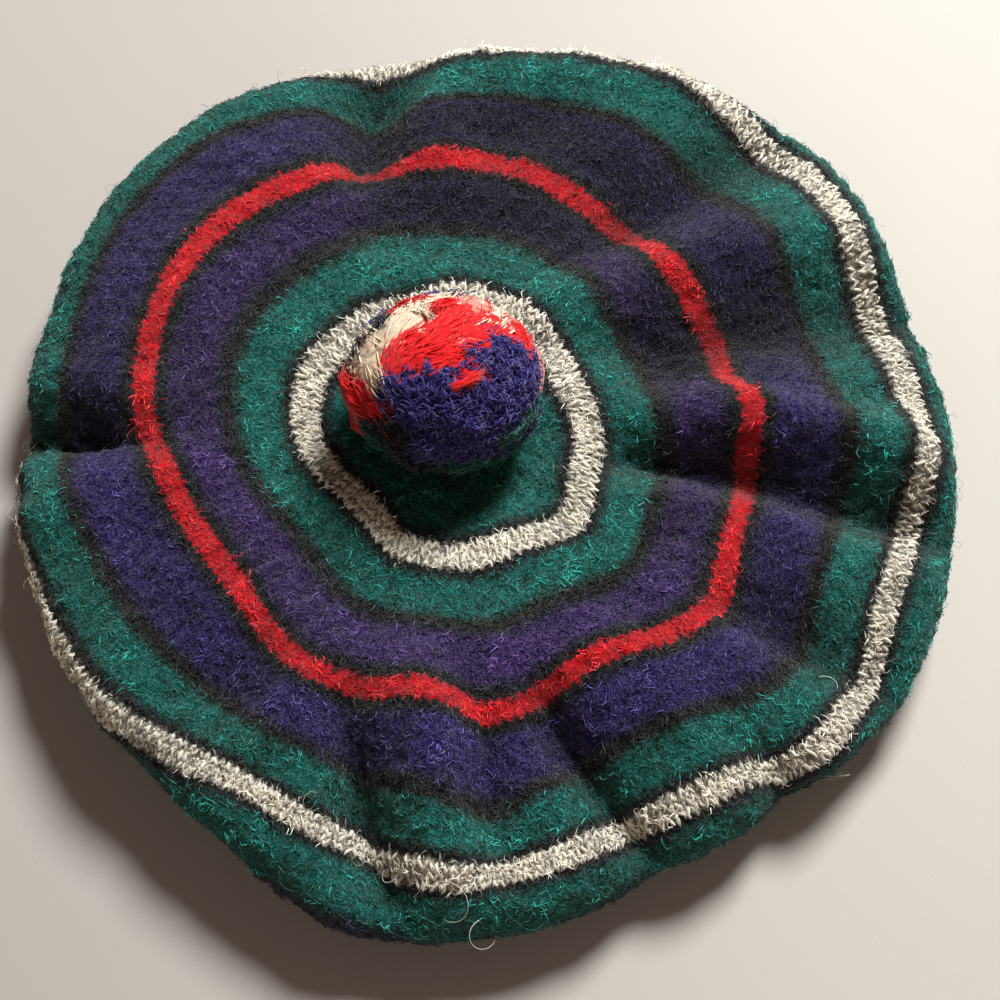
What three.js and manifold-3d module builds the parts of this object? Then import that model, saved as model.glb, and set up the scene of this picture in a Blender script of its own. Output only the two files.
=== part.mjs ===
// Knitted tam o'shanter in fulled wool, lying crown up on its headband.
// Millimetres, +Z up. The origin is on the surface that it lies on, under the middle of its outline.
// -Y is the side nearest the viewer. Directions are degrees from +X, turning towards +Y.
import * as THREE from 'three';
import { mergeVertices } from 'three/addons/utils/BufferGeometryUtils.js';
import Module from 'manifold-3d';

// Crown, as it lies: half its width, and the height of the cloth over the headband
const crownRadius = 140;
const crownRise = 40;
const clothWall = 3.4; // the fulled cloth's thickness
const edgeRoll = 9.5; // radius of the round edge where the cloth turns under
const middleDip = 12; // how far the cloth sinks at the pompom, below crownRise
const underHang = 6.4; // lowest level of the cloth's middle layer under the edge

// Headband
const bandInside = 80;
const bandWall = 4;
const bandHeight = 21.8;
const bandSlip = [15, -4]; // the headband's middle, seen from the crown's, which has flopped to a side
const seamGap = 0.4;
const seamDrop = 4; // the crown's lower edge joins the band this far below its top

// Pompom
const pompomRadius = 28;
const pompomDepth = 0.92; // front to back as a share of its width
const pompomFlat = 0.82; // its height as a share of its width
const lockLength = 6;
const lockWidth = 14;
const lockCount = 30;
const tieRadius = 5;
const pompomLean = [0, 6.5]; // how far its middle leans off the crown's middle
const pompomClear = 2.5; // its underside above the foot of the tie

// A table: its first row names the columns, and each other row becomes one object.
function table([names, ...rows]) {
  return rows.map((row) => Object.fromEntries(row.map((value, k) => [names[k], value])));
}

// Rings of the cloth that the tables speak of, as shares of the crown's radius along the cloth
const ringAlong = 0.285;
const redAlong = 0.593;
const ringHigh = 0.94; // the height of the inner white ring, as a share of crownRise

// How the crown lies, in 18 directions. ring, red and rim are how far out the inner white ring, the red
// ring and the edge lie, and turn is how far along the cloth the edge is, all as shares of crownRadius.
// redHigh and rimHigh are the heights there as shares of crownRise.
const lay = table([
  ['at', 'ring', 'red', 'redHigh', 'rim', 'rimHigh', 'turn'],
  [  0, 0.29, 0.63,  1.0, 1.065, 0.74,  1.06],
  [ 20, 0.28, 0.61, 0.97, 1.055, 0.76, 1.035],
  [ 40, 0.28, 0.61, 0.95, 1.095, 0.84,  1.06],
  [ 60, 0.31,  0.6, 0.97, 1.045, 0.97, 0.985],
  [ 80, 0.31, 0.62,  1.0, 0.975,  1.0, 0.945],
  [100,  0.3, 0.61,  1.0, 0.955, 0.92, 0.965],
  [120, 0.31, 0.66, 1.06,  0.99, 0.89, 0.925],
  [140,  0.3, 0.67, 1.06,  0.97, 0.85, 0.895],
  [160,  0.3, 0.65, 1.04,  0.92, 0.82,  0.89],
  [180, 0.29,  0.6, 1.02,   0.9,  0.8,   0.9],
  [200, 0.27, 0.56, 1.02,  0.89,  0.8,  0.93],
  [220, 0.25, 0.55, 0.98,   0.9, 0.82, 0.965],
  [240, 0.26, 0.59, 0.98,  0.92, 0.78, 1.055],
  [260, 0.28, 0.59,  1.0,  1.02,  0.7, 1.115],
  [280, 0.29, 0.61, 0.98,  1.01, 0.66,  1.09],
  [300,  0.3, 0.59,  1.0, 0.985, 0.68,  1.06],
  [320, 0.33, 0.65, 0.98,  1.04,  0.7,  1.04],
  [340,  0.3, 0.63, 0.98, 1.065, 0.72, 1.085],
]);

// Folds that run out over the crown. at is the direction at the middle of the fold and swing how far it turns
// on the way out. depth is a share of crownRise, and less than 0 on a ridge. before and after are the widths
// of its two walls and lip how far the second leans over, as shares of crownRadius. It runs from start to
// end along the cloth and is flare times as wide there. pull draws the stripes out, and nip the edge in.
const folds = table([
  ['at', 'swing', 'depth', 'before', 'after', 'lip', 'start', 'end', 'flare', 'pull', 'nip'],
  [  2,  -8,  -0.2, 0.06,  0.06,     0,  0.3, 0.94,   1,  0.02,    0],
  [ 21,  -6,  0.27, 0.09,   0.1,     0, 0.28,  1.0, 1.2,     0,    0],
  [ 38, -22, -0.16, 0.07,  0.08,     0, 0.25, 0.98, 1.2,     0,    0],
  [ 50,  -8,   0.3, 0.08,  0.09,     0, 0.45, 0.95, 1.3,     0,    0],
  [ 74,   0,  0.16, 0.14,  0.14,     0, 0.52, 0.74,   1,     0,    0],
  [ 80,   0,  0.14, 0.35,   0.4,     0,  0.3, 0.52,   1,     0,    0],
  [ 95,   0,  -0.1, 0.06,  0.06,     0,  0.5,  0.8,   1,     0,    0],
  [106,  -8,  0.32, 0.07,  0.05,  0.01,  0.5, 0.84, 1.7, -0.02,    0],
  [163,   0,  0.08, 0.09,  0.06,     0,  0.6, 0.88,   1,     0,    0],
  [180,  -6,  0.44, 0.08, 0.045, 0.024, 0.54, 1.02, 1.3,     0, 0.02],
  [191,   4,  -0.1, 0.05,  0.07,     0, 0.45, 0.95, 1.2,     0,    0],
  [232,   0,  0.18, 0.11,   0.1,     0,  0.5, 0.78,   1,     0,    0],
  [235,   0,  0.14,  0.3,   0.3,     0, 0.26, 0.46,   1,     0,    0],
  [256,  14,  0.25, 0.07,  0.06,  0.01,  0.5,  1.0, 1.3,     0, 0.01],
  [267,   4, -0.14, 0.05,  0.06,     0,  0.4, 0.95, 1.3,     0,    0],
  [277,   0,  0.14, 0.05,  0.06,     0, 0.45, 0.88,   1,  0.02,    0],
  [291,   8,  0.24, 0.06,  0.05,  0.01,  0.5,  1.0, 1.2,     0, 0.01],
  [305,   0,  -0.1, 0.09,  0.09,     0,  0.4,  0.9, 1.2,     0,    0],
  [313,   0,  0.22, 0.05,  0.06,     0, 0.78, 1.12, 1.2,     0, 0.04],
  [327,   4,  0.24, 0.05,   0.1,  0.01, 0.48, 0.98, 1.3,  0.03,    0],
  [350,  -3,  0.29, 0.05,  0.08,  0.01, 0.22,  1.0, 1.2,     0,    0],
]);

// How long along the cloth a fold takes to reach its depth, and to fade, as shares of crownRadius
const foldRunIn = 0.22;
const foldRunOut = 0.2;

// Steps of the mesh
const columns = 96;
const topSteps = 13;
const rollSteps = 2;
const underSteps = 4;
const bandSides = 52;
const foldCrowding = 1.1; // how much closer the columns stand at a fold
const foldReach = 9; // degrees to each side of a fold where they do

const bandOutside = bandInside + bandWall;
const bandRound = bandWall * 0.35;
const seamRadius = bandOutside + seamGap;
const seamHeight = bandHeight - seamDrop;
const pompomLift = pompomRadius * pompomFlat + pompomClear;
const lowestTop = underHang + 2 * clothWall + seamGap; // a fold's bottom stays clear of the cloth beneath
const rollUnder = 0.3; // the share of the way under that the roll takes

const radians = THREE.MathUtils.degToRad;

// The difference of two directions, from -180 to 180 degrees.
function between(a, b) {
  return THREE.MathUtils.euclideanModulo(a - b + 180, 360) - 180;
}

// A column of the lay table in any direction: a smooth closed curve through its rows.
function layAt(column, degrees) {
  const step = 360 / lay.length;
  const place = THREE.MathUtils.euclideanModulo(degrees, 360) / step;
  const row = Math.floor(place);
  const t = place - row;
  const [a, b, c, d] = [-1, 0, 1, 2].map((k) => lay[(row + k + lay.length) % lay.length][column]);
  return b + 0.5 * t * (c - a + t * (2 * a - 5 * b + 4 * c - d + t * (3 * (b - c) + d - a)));
}

// Goes smoothly from 0 at low to 1 at high.
function rise(value, low, high) {
  return THREE.MathUtils.smoothstep(value, low, high);
}

// The value at x of a smooth curve through knots, each a place and a value.
function through(knots, x) {
  let k = 0;
  while (k < knots.length - 2 && x > knots[k + 1][0]) k++;
  const slope = (i) => {
    const a = knots[Math.max(i - 1, 0)];
    const b = knots[Math.min(i + 1, knots.length - 1)];
    return (b[1] - a[1]) / (b[0] - a[0]);
  };
  const [x0, y0] = knots[k];
  const [x1, y1] = knots[k + 1];
  const width = x1 - x0;
  const t = (x - x0) / width;
  const leave = t * (1 - t) ** 2 * width * slope(k);
  const arrive = t ** 2 * (t - 1) * width * slope(k + 1);
  return THREE.MathUtils.lerp(y0, y1, t * t * (3 - 2 * t)) + leave + arrive;
}

// What the folds do to the cloth in one direction at one share along it: its drop, its shift sideways in
// degrees, and its shifts outward, all in shares of crownRadius but the drop, a share of crownRise.
function foldAt(degrees, along, out) {
  const sum = { drop: 0, side: 0, pull: 0, nip: 0 };
  for (const fold of folds) {
    const middle = (fold.start + fold.end) / 2;
    const line = fold.at + fold.swing * ((along - middle) / (fold.end - fold.start));
    const across = radians(between(degrees, line)) * Math.max(out, 0.2);
    const share = THREE.MathUtils.clamp((along - fold.start) / (fold.end - fold.start), 0, 1);
    const width = (across < 0 ? fold.before : fold.after) * THREE.MathUtils.lerp(1, fold.flare, share);
    const s = across / width;
    const bell = Math.exp(-s * s);
    const runIn = rise(along, fold.start, fold.start + foldRunIn);
    const runOut = 1 - rise(along, fold.end - 0.3 * foldRunOut, fold.end + 0.7 * foldRunOut);
    const reach = runIn * runOut;
    sum.drop += fold.depth * bell * reach;
    sum.pull += fold.pull * bell * reach;
    sum.nip += fold.nip * bell * rise(along, fold.end - foldRunIn, fold.end);
    if (s > 0) sum.side -= (fold.lip * reach * s * s * Math.exp(1 - s * s)) / Math.max(out, 0.2);
  }
  return sum;
}

// The middle layer of the top, from the crown's middle (along 0) to the edge (along layAt turn).
function topPoint(degrees, along) {
  const turn = layAt('turn', degrees);
  const roll = edgeRoll / crownRadius;
  const shoulder = turn - (Math.PI / 2) * roll;
  const rim = layAt('rim', degrees);
  const rimHigh = layAt('rimHigh', degrees);
  const redHigh = layAt('redHigh', degrees);
  const dip = 1 - middleDip / crownRise;
  let out;
  let high;
  if (along > shoulder) {
    const bend = (along - shoulder) / roll;
    out = rim - roll * (1 - Math.sin(bend));
    high = rimHigh - (edgeRoll / crownRise) * (1 - Math.cos(bend));
  } else {
    const [ring, red] = [layAt('ring', degrees), layAt('red', degrees)];
    const places = [[0, 0], [ringAlong, ring], [redAlong, red], [shoulder, rim - roll], [turn, rim]];
    const dish = [[-ringAlong, ringHigh], [0, dip], [ringAlong, ringHigh]];
    const heights = [...dish, [redAlong, redHigh], [shoulder, rimHigh], [turn, rimHigh - roll]];
    out = through(places, along);
    high = through(heights, along);
  }
  const fold = foldAt(degrees, along, out);
  const away = out + fold.pull - fold.nip;
  const angle = radians(degrees) + fold.side;
  return new THREE.Vector3(
    crownRadius * away * Math.cos(angle),
    crownRadius * away * Math.sin(angle),
    Math.max(crownRise * (high - fold.drop), lowestTop)
  );
}

// The middle layer past the edge: round the roll and back underneath to the seam at the headband.
// under goes from 0 at the edge to 1 at the seam.
function underPoint(degrees, under) {
  const turn = layAt('turn', degrees);
  const edge = topPoint(degrees, turn);
  const angle = Math.atan2(edge.y, edge.x);
  const seam = new THREE.Vector3(
    bandSlip[0] + seamRadius * Math.cos(angle),
    bandSlip[1] + seamRadius * Math.sin(angle),
    seamHeight
  );
  const inward = new THREE.Vector3(seam.x - edge.x, seam.y - edge.y, 0);
  const reach = inward.length();
  inward.normalize();
  const roll = Math.min(edgeRoll, edge.z - underHang);
  const rolled = new THREE.Vector3(edge.x, edge.y, edge.z - roll).addScaledVector(inward, edgeRoll);
  if (under < rollUnder) {
    const bend = (under / rollUnder) * (Math.PI / 2);
    const point = edge.clone().addScaledVector(inward, edgeRoll * (1 - Math.cos(bend)));
    point.z -= roll * Math.sin(bend);
    return point;
  }
  const hang = rolled.clone().addScaledVector(inward, reach * 0.3);
  const arrive = seam.clone().addScaledVector(inward, -reach * 0.35);
  const curve = new THREE.CubicBezierCurve3(rolled, hang, arrive, seam);
  return curve.getPoint((under - rollUnder) / (1 - rollUnder));
}

// The directions of the columns of the mesh, closer together where a fold is.
function columnDirections() {
  const parts = 1440;
  const sums = [0];
  for (let k = 0; k < parts; k++) {
    const degrees = (360 * k) / parts;
    let crowd = 1;
    for (const fold of folds) {
      const away = between(degrees, fold.at) / foldReach;
      crowd += foldCrowding * Math.exp(-away * away);
    }
    sums.push(sums[k] + crowd);
  }
  const directions = [];
  let k = 0;
  for (let column = 0; column < columns; column++) {
    const target = (sums[parts] * column) / columns;
    while (sums[k + 1] <= target) k++;
    directions.push((360 * (k + (target - sums[k]) / (sums[k + 1] - sums[k]))) / parts);
  }
  return directions;
}

// The crown's middle layer as rings of points, from the first ring round the middle to the seam.
function crownRings(directions) {
  const rings = [];
  for (let i = 1; i <= topSteps; i++) {
    const share = i / topSteps;
    rings.push(directions.map((d) => {
      const shoulder = layAt('turn', d) - (Math.PI / 2) * (edgeRoll / crownRadius);
      return topPoint(d, shoulder * share ** 0.9);
    }));
  }
  for (let i = 1; i <= rollSteps; i++) {
    const back = (Math.PI / 2) * (edgeRoll / crownRadius) * (1 - i / rollSteps);
    rings.push(directions.map((d) => topPoint(d, layAt('turn', d) - back)));
  }
  for (let i = 1; i <= rollSteps; i++) {
    rings.push(directions.map((d) => underPoint(d, (rollUnder * i) / rollSteps)));
  }
  for (let i = 1; i <= underSteps; i++) {
    rings.push(directions.map((d) => underPoint(d, rollUnder + ((1 - rollUnder) * i) / underSteps)));
  }
  return rings;
}

// A closed wall, half of it on each side of a layer given as rings about a middle point. The edge of the
// last ring is cut upright.
function wallAbout(middle, rings, wall) {
  const count = rings[0].length;
  const points = [middle, ...rings.flat()];
  const faces = [];
  const index = (ring, k) => 1 + ring * count + (k % count);
  for (let k = 0; k < count; k++) {
    faces.push([0, index(0, k), index(0, k + 1)]);
    for (let ring = 0; ring < rings.length - 1; ring++) {
      faces.push([index(ring, k), index(ring + 1, k), index(ring + 1, k + 1)]);
      faces.push([index(ring, k), index(ring + 1, k + 1), index(ring, k + 1)]);
    }
  }
  const layer = new THREE.BufferGeometry().setFromPoints(points);
  layer.setIndex(faces.flat());
  layer.computeVertexNormals();
  const normals = points.map((p, k) => new THREE.Vector3().fromBufferAttribute(layer.attributes.normal, k));
  const last = rings.length - 1;
  for (let k = 0; k < count; k++) {
    normals[index(last, k)].set(0, 0, -1);
  }
  const outside = points.map((p, k) => p.clone().addScaledVector(normals[k], wall / 2));
  const inside = points.map((p, k) => p.clone().addScaledVector(normals[k], -wall / 2));
  const all = new THREE.BufferGeometry().setFromPoints([...outside, ...inside]);
  const shift = points.length;
  const closed = faces.flat();
  for (const [a, b, c] of faces) {
    closed.push(a + shift, c + shift, b + shift);
  }
  for (let k = 0; k < count; k++) {
    const [a, b] = [index(last, k), index(last, k + 1)];
    closed.push(a, a + shift, b + shift, a, b + shift, b);
  }
  all.setIndex(closed);
  return all;
}

// The crown: one knitted cloth, hollow, open where the headband is.
function crownGeometry() {
  const middle = topPoint(0, 0);
  return wallAbout(middle, crownRings(columnDirections()), clothWall);
}

// The headband: an upright ring of doubled knitting with round edges and a flat foot.
function headbandGeometry() {
  const r = bandRound;
  const inner = bandInside;
  const outer = bandOutside;
  const profile = [
    [inner + r, 0],
    [outer - r, 0],
    [outer - r * 0.3, r * 0.3],
    [outer, r],
    [outer, bandHeight - r],
    [outer - r, bandHeight],
    [inner + r, bandHeight],
    [inner, bandHeight - r],
    [inner, r],
    [inner + r * 0.3, r * 0.3],
    [inner + r, 0],
  ].map(([x, y]) => new THREE.Vector2(x, y));
  const geometry = new THREE.LatheGeometry(profile, bandSides);
  geometry.rotateX(Math.PI / 2);
  geometry.translate(bandSlip[0], bandSlip[1], 0);
  return geometry;
}

// A closed mesh as a solid that can be joined.
function solidFrom(wasm, geometry) {
  const plain = geometry.clone();
  plain.deleteAttribute('normal');
  plain.deleteAttribute('uv');
  const merged = mergeVertices(plain, 1e-4);
  return new wasm.Manifold(new wasm.Mesh({
    numProp: 3,
    vertProperties: new Float32Array(merged.attributes.position.array),
    triVerts: new Uint32Array(merged.index.array),
  }));
}

// The pompom: locks of yarn all round one head, on the tie that is sewn to the crown's middle.
async function pompomGeometry() {
  const wasm = await Module();
  wasm.setup();
  const seat = Math.max(...lay.map((row) => topPoint(row.at, (tieRadius + clothWall) / crownRadius).z));
  const foot = seat + clothWall / 2 + seamGap;
  const heart = new THREE.Vector3(pompomLean[0], pompomLean[1], foot + pompomLift);
  const core = pompomRadius - lockLength;
  const head = new THREE.SphereGeometry(core, 12, 8).scale(1, pompomDepth, pompomFlat);
  head.translate(heart.x, heart.y, heart.z);
  let solid = solidFrom(wasm, head);
  const golden = Math.PI * (3 - Math.sqrt(5));
  for (let k = 0; k < lockCount; k++) {
    const up = 1 - (2 * (k + 0.5)) / lockCount;
    const ring = Math.sqrt(1 - up * up);
    const way = new THREE.Vector3(ring * Math.cos(golden * k), ring * Math.sin(golden * k), up);
    const lock = new THREE.SphereGeometry(lockWidth / 2, 6, 4);
    lock.scale(1, 1, (2 * lockLength) / lockWidth);
    lock.applyQuaternion(new THREE.Quaternion().setFromUnitVectors(new THREE.Vector3(0, 0, 1), way));
    const at = way.clone().multiplyScalar(core).multiply(new THREE.Vector3(1, pompomDepth, pompomFlat));
    lock.translate(heart.x + at.x, heart.y + at.y, heart.z + at.z);
    solid = solid.add(solidFrom(wasm, lock));
  }
  const tie = new THREE.CylinderGeometry(tieRadius, tieRadius, 1, 12);
  tie.rotateX(Math.PI / 2);
  tie.translate(0, 0, 0.5);
  tie.scale(1, 1, pompomLift);
  const [leanX, leanY] = pompomLean.map((shift) => shift / pompomLift);
  tie.applyMatrix4(new THREE.Matrix4().makeShear(0, 0, 0, 0, leanX, leanY));
  tie.translate(0, 0, foot);
  solid = solid.add(solidFrom(wasm, tie));
  const mesh = solid.getMesh();
  const geometry = new THREE.BufferGeometry();
  geometry.setAttribute('position', new THREE.BufferAttribute(mesh.vertProperties, 3));
  geometry.setIndex(new THREE.BufferAttribute(mesh.triVerts, 1));
  return geometry;
}

function piece(name, geometry, color) {
  geometry.deleteAttribute('uv');
  geometry.computeVertexNormals();
  const wool = new THREE.MeshStandardMaterial({ color, roughness: 0.95, metalness: 0 });
  const mesh = new THREE.Mesh(geometry, wool);
  mesh.name = name;
  return mesh;
}

const hat = new THREE.Group();
hat.name = 'tam';
hat.add(piece('crown', crownGeometry(), 0x0f6b58));
hat.add(piece('headband', headbandGeometry(), 0x1c1a2a));
hat.add(piece('pompom', await pompomGeometry(), 0xc8202c));

// The origin goes under the middle of the outline.
const outline = new THREE.Box3().setFromObject(hat);
const middle = outline.getCenter(new THREE.Vector3());
hat.position.set(-middle.x, -middle.y, -outline.min.z);

export default hat;
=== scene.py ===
import math

import bpy
import numpy as np
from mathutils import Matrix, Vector


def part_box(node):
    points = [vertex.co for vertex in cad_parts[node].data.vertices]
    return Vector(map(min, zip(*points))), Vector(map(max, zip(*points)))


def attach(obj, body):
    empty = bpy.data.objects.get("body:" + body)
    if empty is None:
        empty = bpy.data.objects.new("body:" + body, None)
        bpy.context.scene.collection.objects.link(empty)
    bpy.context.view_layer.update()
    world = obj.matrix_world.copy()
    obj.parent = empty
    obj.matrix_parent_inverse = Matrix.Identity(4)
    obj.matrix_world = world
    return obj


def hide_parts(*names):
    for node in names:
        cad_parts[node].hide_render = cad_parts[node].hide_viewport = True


# A knitted tam o'shanter in fulled wool, lying crown up on a pale table
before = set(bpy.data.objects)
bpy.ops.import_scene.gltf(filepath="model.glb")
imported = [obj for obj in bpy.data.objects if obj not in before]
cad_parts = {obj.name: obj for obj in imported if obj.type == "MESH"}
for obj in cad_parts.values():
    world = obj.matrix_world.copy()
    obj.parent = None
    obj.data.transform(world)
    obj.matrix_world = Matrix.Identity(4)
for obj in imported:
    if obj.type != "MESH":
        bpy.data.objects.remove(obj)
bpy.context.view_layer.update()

MM = 0.001

# Crown: half its width, the height of its cloth, and the cloth itself, in millimetres
CROWN_RADIUS = 140.0
CROWN_RISE = 40.0
CLOTH_WALL = 3.4
EDGE_ROLL = 9.5
MIDDLE_DIP = 12.0
UNDER_HANG = 6.4

# Headband, in millimetres
BAND_INSIDE = 80.0
BAND_WALL = 4.0
BAND_HEIGHT = 21.8
BAND_SLIP = (15.0, -4.0)
SEAM_GAP = 0.4
SEAM_DROP = 4.0

# Pompom, in millimetres
POMPOM_RADIUS = 28.0
POMPOM_DEPTH = 0.92
POMPOM_FLAT = 0.82
TIE_RADIUS = 5.0

# Rings of the cloth that the tables speak of: two places along it and a height, as shares
RING_ALONG = 0.285
RED_ALONG = 0.593
RING_HIGH = 0.94
# How long a fold takes to start and to run out, and the share of the underside that the rolled edge takes
FOLD_RUN_IN = 0.22
FOLD_RUN_OUT = 0.2
ROLL_UNDER = 0.3

band_low, band_high = (Vector(corner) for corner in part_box("headband"))
band_middle = (band_low + band_high) / 2
# The crown's middle on the table, in millimetres
CROWN_MIDDLE = np.array([band_middle.x / MM - BAND_SLIP[0], band_middle.y / MM - BAND_SLIP[1], 0.0])


def table(names, *rows):
    """A short table whose columns have names, as one array for each column."""
    columns = np.array(rows, float).T
    return dict(zip(names.split(), columns))


# How the crown lies in 18 directions: shares of the crown's radius, and heights as shares of its rise
LAY = table(
    "at ring red redHigh rim rimHigh turn",
    (  0, 0.29, 0.63,  1.0, 1.065, 0.74,  1.06),
    ( 20, 0.28, 0.61, 0.97, 1.055, 0.76, 1.035),
    ( 40, 0.28, 0.61, 0.95, 1.095, 0.84,  1.06),
    ( 60, 0.31,  0.6, 0.97, 1.045, 0.97, 0.985),
    ( 80, 0.31, 0.62,  1.0, 0.975,  1.0, 0.945),
    (100,  0.3, 0.61,  1.0, 0.955, 0.92, 0.965),
    (120, 0.31, 0.66, 1.06,  0.99, 0.89, 0.925),
    (140,  0.3, 0.67, 1.06,  0.97, 0.85, 0.895),
    (160,  0.3, 0.65, 1.04,  0.92, 0.82,  0.89),
    (180, 0.29,  0.6, 1.02,   0.9,  0.8,   0.9),
    (200, 0.27, 0.56, 1.02,  0.89,  0.8,  0.93),
    (220, 0.25, 0.55, 0.98,   0.9, 0.82, 0.965),
    (240, 0.26, 0.59, 0.98,  0.92, 0.78, 1.055),
    (260, 0.28, 0.59,  1.0,  1.02,  0.7, 1.115),
    (280, 0.29, 0.61, 0.98,  1.01, 0.66,  1.09),
    (300,  0.3, 0.59,  1.0, 0.985, 0.68,  1.06),
    (320, 0.33, 0.65, 0.98,  1.04,  0.7,  1.04),
    (340,  0.3, 0.63, 0.98, 1.065, 0.72, 1.085),
)
# The folds and ridges that run out over it, with their widths as shares of the crown's radius
FOLDS = table(
    "at swing depth before after lip start end flare pull nip",
    (  2,  -8,  -0.2, 0.06,  0.06,     0,  0.3, 0.94,   1,  0.02,    0),
    ( 21,  -6,  0.27, 0.09,   0.1,     0, 0.28,  1.0, 1.2,     0,    0),
    ( 38, -22, -0.16, 0.07,  0.08,     0, 0.25, 0.98, 1.2,     0,    0),
    ( 50,  -8,   0.3, 0.08,  0.09,     0, 0.45, 0.95, 1.3,     0,    0),
    ( 74,   0,  0.16, 0.14,  0.14,     0, 0.52, 0.74,   1,     0,    0),
    ( 80,   0,  0.14, 0.35,   0.4,     0,  0.3, 0.52,   1,     0,    0),
    ( 95,   0,  -0.1, 0.06,  0.06,     0,  0.5,  0.8,   1,     0,    0),
    (106,  -8,  0.32, 0.07,  0.05,  0.01,  0.5, 0.84, 1.7, -0.02,    0),
    (163,   0,  0.08, 0.09,  0.06,     0,  0.6, 0.88,   1,     0,    0),
    (180,  -6,  0.44, 0.08, 0.045, 0.024, 0.54, 1.02, 1.3,     0, 0.02),
    (191,   4,  -0.1, 0.05,  0.07,     0, 0.45, 0.95, 1.2,     0,    0),
    (232,   0,  0.18, 0.11,   0.1,     0,  0.5, 0.78,   1,     0,    0),
    (235,   0,  0.14,  0.3,   0.3,     0, 0.26, 0.46,   1,     0,    0),
    (256,  14,  0.25, 0.07,  0.06,  0.01,  0.5,  1.0, 1.3,     0, 0.01),
    (267,   4, -0.14, 0.05,  0.06,     0,  0.4, 0.95, 1.3,     0,    0),
    (277,   0,  0.14, 0.05,  0.06,     0, 0.45, 0.88,   1,  0.02,    0),
    (291,   8,  0.24, 0.06,  0.05,  0.01,  0.5,  1.0, 1.2,     0, 0.01),
    (305,   0,  -0.1, 0.09,  0.09,     0,  0.4,  0.9, 1.2,     0,    0),
    (313,   0,  0.22, 0.05,  0.06,     0, 0.78, 1.12, 1.2,     0, 0.04),
    (327,   4,  0.24, 0.05,   0.1,  0.01, 0.48, 0.98, 1.3,  0.03,    0),
    (350,  -3,  0.29, 0.05,  0.08,  0.01, 0.22,  1.0, 1.2,     0,    0),
)


def turned(a, b):
    """The difference of two directions, from -180 to 180 degrees."""
    return (a - b + 180) % 360 - 180


def ease(value, low, high):
    """Goes smoothly from 0 at low to 1 at high."""
    t = np.clip((value - low) / (high - low), 0, 1)
    return t * t * (3 - 2 * t)


def unit(ways):
    """The same ways, each one long."""
    return ways / (np.linalg.norm(ways, axis=-1, keepdims=True) + 1e-9)


def lay_at(column, degrees):
    """A column of the lay table in any direction: a smooth closed curve through its rows."""
    values = LAY[column]
    rows = len(values)
    place = (degrees % 360) * rows / 360
    row = np.floor(place).astype(int)
    t = place - row
    a, b, c, d = (values[(row + k) % rows] for k in (-1, 0, 1, 2))
    return b + 0.5 * t * (c - a + t * (2 * a - 5 * b + 4 * c - d + t * (3 * (b - c) + d - a)))


def through(knots, x):
    """The value at x of a smooth curve through knots, each a place and a value."""
    places = [np.broadcast_to(np.asarray(place, float), x.shape) for place, value in knots]
    values = [np.broadcast_to(np.asarray(value, float), x.shape) for place, value in knots]
    last = len(knots) - 1

    def slope(k):
        before, after = max(k - 1, 0), min(k + 1, last)
        return (values[after] - values[before]) / (places[after] - places[before])

    result = values[0]
    for k in range(last):
        width = places[k + 1] - places[k]
        t = (x - places[k]) / width
        leave = t * (1 - t) ** 2 * width * slope(k)
        arrive = t**2 * (t - 1) * width * slope(k + 1)
        piece = values[k] + (values[k + 1] - values[k]) * t * t * (3 - 2 * t) + leave + arrive
        result = piece if k == 0 else np.where(x > places[k], piece, result)
    return result


def folds_at(degrees, along, out):
    """What the folds do to the cloth: its drop, and its shifts sideways and outward."""
    drop, side, shift = np.zeros_like(along), np.zeros_like(along), np.zeros_like(along)
    reach_out = np.maximum(out, 0.2)
    for fold in [dict(zip(FOLDS, row)) for row in zip(*FOLDS.values())]:
        start, end = fold["start"], fold["end"]
        line = fold["at"] + fold["swing"] * ((along - (start + end) / 2) / (end - start))
        across = np.radians(turned(degrees, line)) * reach_out
        widening = 1 + (fold["flare"] - 1) * np.clip((along - start) / (end - start), 0, 1)
        s = across / (np.where(across < 0, fold["before"], fold["after"]) * widening)
        bell = np.exp(-s * s)
        run_out = 1 - ease(along, end - 0.3 * FOLD_RUN_OUT, end + 0.7 * FOLD_RUN_OUT)
        reach = ease(along, start, start + FOLD_RUN_IN) * run_out
        drop += fold["depth"] * bell * reach
        side -= np.where(s > 0, fold["lip"] * reach * s * s * np.exp(1 - s * s) / reach_out, 0)
        shift += fold["pull"] * bell * reach - fold["nip"] * bell * ease(along, end - FOLD_RUN_IN, end)
    return drop, side, shift


# How much darker the wool is painted down in the folds: painted shade, deeper than the folds' own shading
FOLD_SHADE = 0.55


def painted_fold_shade(degrees, distance):
    """The painted shade at a distance along the cloth: 1 outside the folds, less down in them."""
    along = np.asarray(distance, float) / CROWN_RADIUS
    return 1 - FOLD_SHADE * ease(folds_at(degrees, along, along)[0], 0.03, 0.26)


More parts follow.
